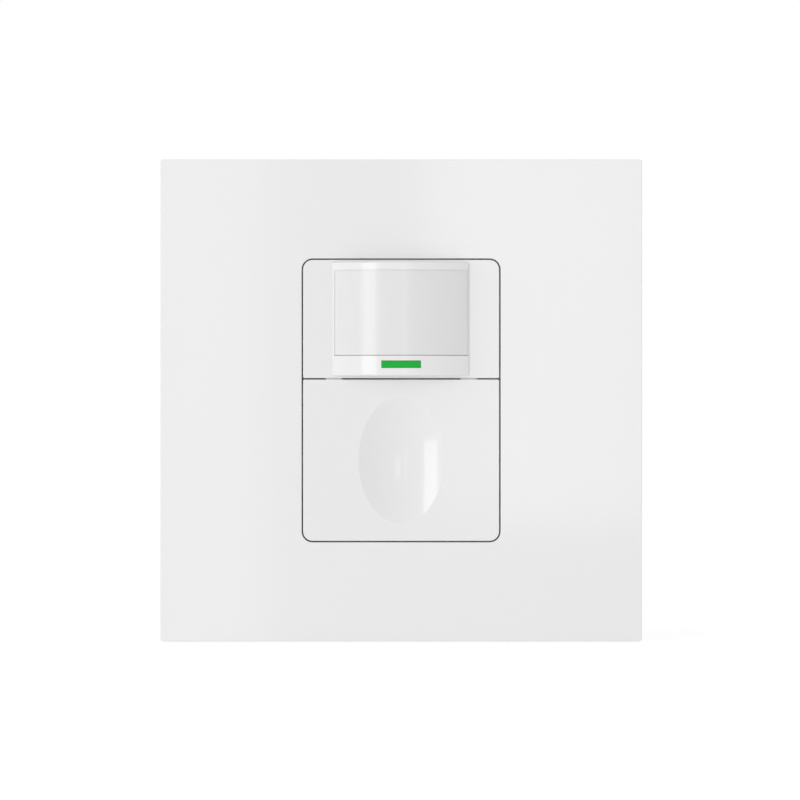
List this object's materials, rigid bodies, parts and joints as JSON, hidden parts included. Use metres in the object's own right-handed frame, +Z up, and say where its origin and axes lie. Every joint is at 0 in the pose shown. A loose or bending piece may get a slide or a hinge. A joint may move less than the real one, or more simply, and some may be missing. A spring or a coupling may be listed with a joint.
{
  "type": "motion sensor light switch",
  "caption": "Square white wall switch with a curved motion sensor lens and green indicator bar above a hinged push button with an oval thumb dish, on a steel yoke with a boxed rear.",
  "frame": {"origin": "middle of the plate on the wall's plane", "axes": "+X to the viewer's right, +Y into the wall, +Z up the wall; the front faces -Y"},
  "size_m": [0.086, 0.0396, 0.086],
  "materials": {
    "plate_abs": "glossy white moulded ABS",
    "face_abs": "satin white moulded ABS",
    "lens_hdpe": "milky white polyethylene lens",
    "bar_pmma": "green acrylic",
    "zinc_steel": "zinc plated sheet steel",
    "screw_steel": "nickel plated steel",
    "housing_nylon": "light grey moulded nylon",
    "terminal_brass": "plain brass",
    "board_laminate": "green solder mask",
    "black_plastic": "black moulded plastic",
    "white_nylon": "white nylon",
    "blue_plastic": "blue plastic",
    "yellow_plastic": "yellow plastic",
    "fuse_glass": "glass tube with plated caps"
  },
  "bodies": {
    "switch": {"cover_plate": "plate_abs", "front_cover": "face_abs", "fresnel_lens": "lens_hdpe", "light_pipe": "bar_pmma", "mounting_yoke": "zinc_steel", "pir_can": "zinc_steel", "case_screws": "screw_steel", "terminal_screws": "screw_steel", "pir_base": "screw_steel", "button_springs": "screw_steel", "rear_housing": "housing_nylon", "terminals": "terminal_brass", "control_board": "board_laminate", "power_board": "board_laminate", "lens_shroud": "black_plastic", "tact_switch": "black_plastic", "pir_filter": "black_plastic", "microcontroller": "black_plastic", "board_header": "black_plastic", "relay": "black_plastic", "smoothing_capacitor": "black_plastic", "inductor": "black_plastic", "rectifier": "black_plastic", "board_spacers": "white_nylon", "indicator_led": "white_nylon", "trimmer_bodies": "blue_plastic", "varistor": "blue_plastic", "mains_capacitor": "yellow_plastic", "light_sensor": "yellow_plastic", "fuse": "fuse_glass"},
    "button": {"push_button": "face_abs"},
    "plunger": {"tact_plunger": "black_plastic"},
    "time_dial": {"time_dial": "white_nylon"},
    "light_dial": {"light_dial": "white_nylon"},
    "range_dial": {"range_dial": "white_nylon"}
  },
  "joints": [
    {"name": "button_press", "type": "hinge", "parent": "switch", "child": "button", "pos_m": [0, -0.0059, 0.00562], "axis": [1, 0, 0], "range_deg": [0, 2], "stiffness_Nm_per_rad": 0.05, "springref_deg": -2.86, "deforming": ["button_springs"]},
    {"name": "plunger_travel", "type": "slide", "parent": "switch", "child": "plunger", "axis": [0, 1, 0], "range_m": [0, 0.000232]},
    {"name": "time_dial_turn", "type": "hinge", "parent": "switch", "child": "time_dial", "pos_m": [-0.009, -0.0025, -0.012], "axis": [0, -1, 0], "range_deg": [-135, 135]},
    {"name": "light_dial_turn", "type": "hinge", "parent": "switch", "child": "light_dial", "pos_m": [0, -0.0025, -0.012], "axis": [0, -1, 0], "range_deg": [-135, 135]},
    {"name": "range_dial_turn", "type": "hinge", "parent": "switch", "child": "range_dial", "pos_m": [0.009, -0.0025, -0.012], "axis": [0, -1, 0], "range_deg": [-135, 135]}
  ],
  "couplings": [
    {"joint": "plunger_travel", "follows": "button_press", "m_per_rad": 0.006625}
  ]
}
